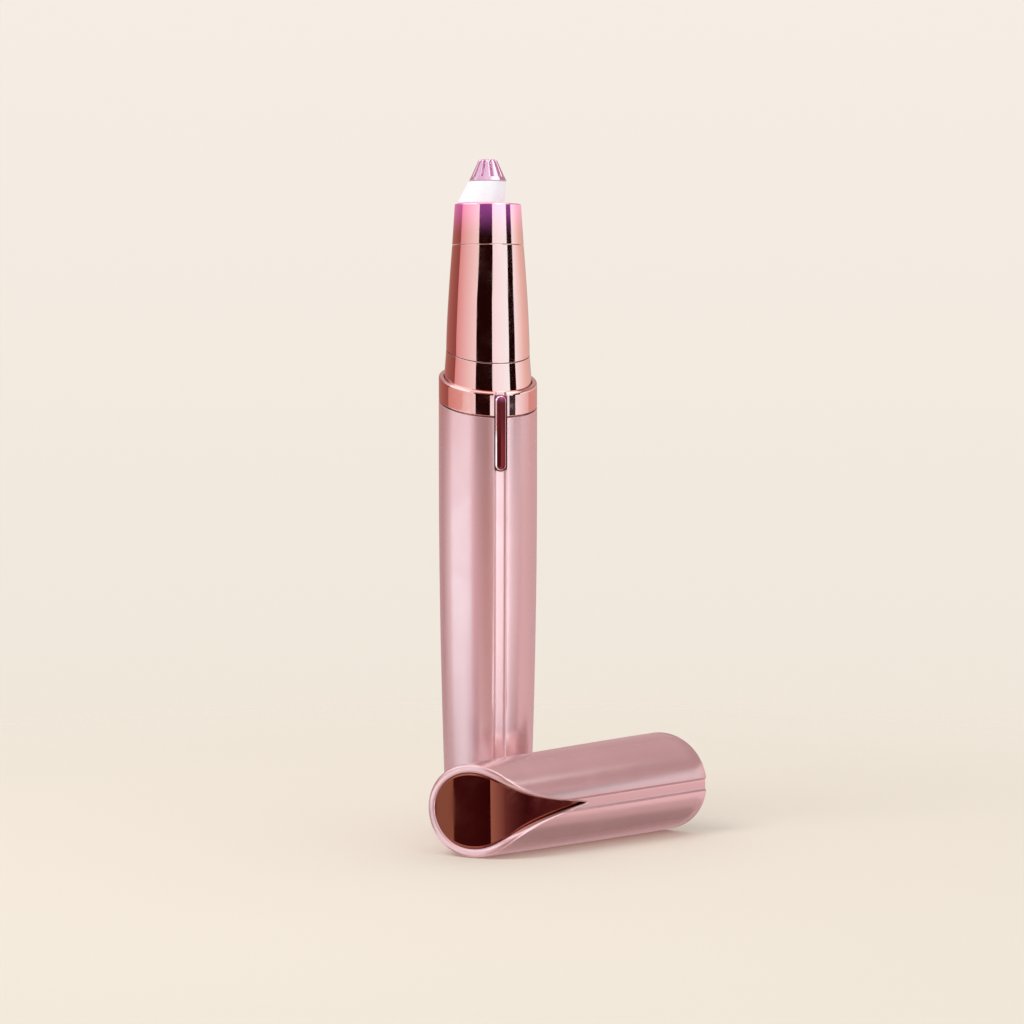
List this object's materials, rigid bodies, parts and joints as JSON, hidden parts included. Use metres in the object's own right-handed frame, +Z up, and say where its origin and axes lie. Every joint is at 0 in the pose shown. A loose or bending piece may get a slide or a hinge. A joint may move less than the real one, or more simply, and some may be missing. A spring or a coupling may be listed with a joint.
{
  "type": "electric eyebrow trimmer",
  "caption": "Pen-shaped eyebrow trimmer with a slotted rotary head, side light and slide switch, standing open beside its swirl-cut cap.",
  "frame": {"origin": "centre of the standing trimmer's foot, on the floor", "axes": "+Z up along the trimmer to its cutting tip; the loose cap lies along X on the -Y side, mouth towards +X"},
  "size_m": [0.0533, 0.0362, 0.1236],
  "materials": {
    "pink_shell": "satin metallic pink lacquer",
    "rose_gold": "mirror-bright rose-gold plating",
    "guard_gold": "bright pink-gold plating",
    "slider_maroon": "dark maroon gloss",
    "copper_mirror": "dark copper mirror",
    "lens_white": "milky light diffuser",
    "white_plastic": "plain moulding",
    "black_plastic": "plain moulding or wire sleeve",
    "wire_red": "wire sleeve",
    "board_green": "lacquered board",
    "cell_wrap": "plain dark wrap",
    "nickel": "nickel-plated spring sheet",
    "steel": "bright drawn or stamped steel"
  },
  "bodies": {
    "handle": {"handle_sleeve": "pink_shell", "collar_ring": "rose_gold", "neck_ring": "rose_gold", "head_cone": "rose_gold", "motor_holder": "white_plastic", "motor_can": "steel", "motor_end_cap": "white_plastic", "led_board": "board_green", "led_lamp": "lens_white", "led_wire_red": "wire_red", "led_wire_black": "black_plastic", "motor_lead_red": "wire_red", "motor_lead_black": "black_plastic", "circuit_board": "board_green", "switch_body": "black_plastic", "chassis_tube": "white_plastic", "battery_cell": "cell_wrap", "positive_contact": "nickel", "return_strip": "nickel", "board_screw_1": "steel", "board_screw_2": "steel"},
    "slider": {"switch_slider": "slider_maroon", "switch_actuator": "white_plastic"},
    "drive": {"motor_shaft": "steel", "drive_spindle": "white_plastic", "cutter_spring": "steel"},
    "head": {"head_ring": "rose_gold", "led_lens": "lens_white", "guard_comb": "guard_gold"},
    "cutter": {"rotary_cutter": "steel"},
    "tail": {"tail_plug": "pink_shell", "negative_contact": "nickel", "battery_spring": "steel"},
    "cap": {"cap_shell": "pink_shell", "cap_insert": "copper_mirror"}
  },
  "joints": [
    {"name": "switch_slide", "type": "slide", "parent": "handle", "child": "slider", "axis": [0, 0, 1], "range_m": [-0.002, 0]},
    {"name": "drive_spin", "type": "hinge", "parent": "handle", "child": "drive", "pos_m": [0, 0, 0.1], "axis": [0, 0, 1], "continuous": true},
    {"name": "head_pull", "type": "slide", "parent": "handle", "child": "head", "axis": [0, 0, 1], "range_m": [0, 0.012]},
    {"name": "cutter_lift", "type": "slide", "parent": "drive", "child": "cutter", "axis": [0, 0, 1], "range_m": [0, 0.012]},
    {"name": "tail_turn", "type": "hinge", "parent": "handle", "child": "tail", "pos_m": [0, 0, 0], "axis": [0, 0, 1], "range_deg": [0, 60]},
    {"name": "cap_lift", "type": "slide", "parent": "handle", "child": "cap", "axis": [0, 0, 1], "range_m": [0, 0.04]}
  ],
  "couplings": [
    {"joint": "cutter_lift", "follows": "head_pull", "ratio": 1}
  ]
}
